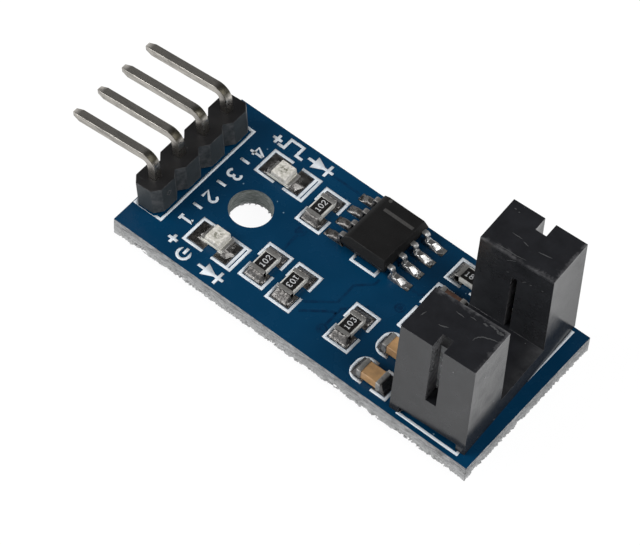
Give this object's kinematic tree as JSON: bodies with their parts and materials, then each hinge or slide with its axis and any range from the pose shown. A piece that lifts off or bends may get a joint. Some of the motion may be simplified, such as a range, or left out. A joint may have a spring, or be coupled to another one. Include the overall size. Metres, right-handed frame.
{
  "type": "infrared speed sensor module",
  "caption": "Slotted infrared sensor on a blue circuit board, with a comparator, chip parts, indicator lights and a bent pin header at the other end.",
  "frame": {"origin": "axis of the mounting hole, at the board's underside", "axes": "+X along the board from the header to the slotted sensor, +Z out of the side that carries the parts, +Y across the board"},
  "size_m": [0.0371, 0.0138, 0.0125],
  "materials": {
    "board_laminate": "blue solder mask over glass-epoxy laminate, pale raw edges",
    "tinned_copper": "tinned copper, satin",
    "legend_ink": "white screen ink, matt",
    "header_plastic": "black moulded plastic, satin",
    "pin_metal": "drawn and plated pin, semi-gloss",
    "solder": "bright solder",
    "comparator_resin": "black moulding resin, fine matt",
    "lead_metal": "tinned lead, satin",
    "sensor_plastic": "black moulded plastic, semi-gloss, small scuffs",
    "emitter_resin": "clear resin, glossy",
    "receiver_resin": "dark filter resin, glossy",
    "resistor_ceramic": "pale alumina, matt",
    "resistor_glaze": "black glaze",
    "end_metal": "tinned end, satin",
    "capacitor_ceramic": "tan ceramic, satin",
    "light_base": "white laminate, matt",
    "light_lens": "cream translucent resin"
  },
  "bodies": {
    "root": {"capacitor_1_body": "capacitor_ceramic", "capacitor_1_ends": "end_metal", "capacitor_2_body": "capacitor_ceramic", "capacitor_2_ends": "end_metal", "capacitor_3_body": "capacitor_ceramic", "capacitor_3_ends": "end_metal", "chip_solder": "solder", "circuit_board": "board_laminate", "comparator_body": "comparator_resin", "comparator_lead_1": "lead_metal", "comparator_lead_2": "lead_metal", "comparator_lead_3": "lead_metal", "comparator_lead_4": "lead_metal", "comparator_lead_5": "lead_metal", "comparator_lead_6": "lead_metal", "comparator_lead_7": "lead_metal", "comparator_lead_8": "lead_metal", "comparator_solder": "solder", "emitter_lead_1": "lead_metal", "emitter_lead_2": "lead_metal", "header_housing": "header_plastic", "header_pin_1": "pin_metal", "header_pin_2": "pin_metal", "header_pin_3": "pin_metal", "header_pin_4": "pin_metal", "header_solder": "solder", "infrared_emitter": "emitter_resin", "infrared_receiver": "receiver_resin", "legend": "legend_ink", "light_1_base": "light_base", "light_1_ends": "end_metal", "light_1_lens": "light_lens", "light_2_base": "light_base", "light_2_ends": "end_metal", "light_2_lens": "light_lens", "pads": "tinned_copper", "receiver_lead_1": "lead_metal", "receiver_lead_2": "lead_metal", "resistor_1_body": "resistor_ceramic", "resistor_1_ends": "end_metal", "resistor_1_glaze": "resistor_glaze", "resistor_2_body": "resistor_ceramic", "resistor_2_ends": "end_metal", "resistor_2_glaze": "resistor_glaze", "resistor_3_body": "resistor_ceramic", "resistor_3_ends": "end_metal", "resistor_3_glaze": "resistor_glaze", "resistor_4_body": "resistor_ceramic", "resistor_4_ends": "end_metal", "resistor_4_glaze": "resistor_glaze", "resistor_5_body": "resistor_ceramic", "resistor_5_ends": "end_metal", "resistor_5_glaze": "resistor_glaze", "resistor_6_body": "resistor_ceramic", "resistor_6_ends": "end_metal", "resistor_6_glaze": "resistor_glaze", "sensor_housing": "sensor_plastic", "sensor_solder": "solder"}
  },
  "joints": []
}
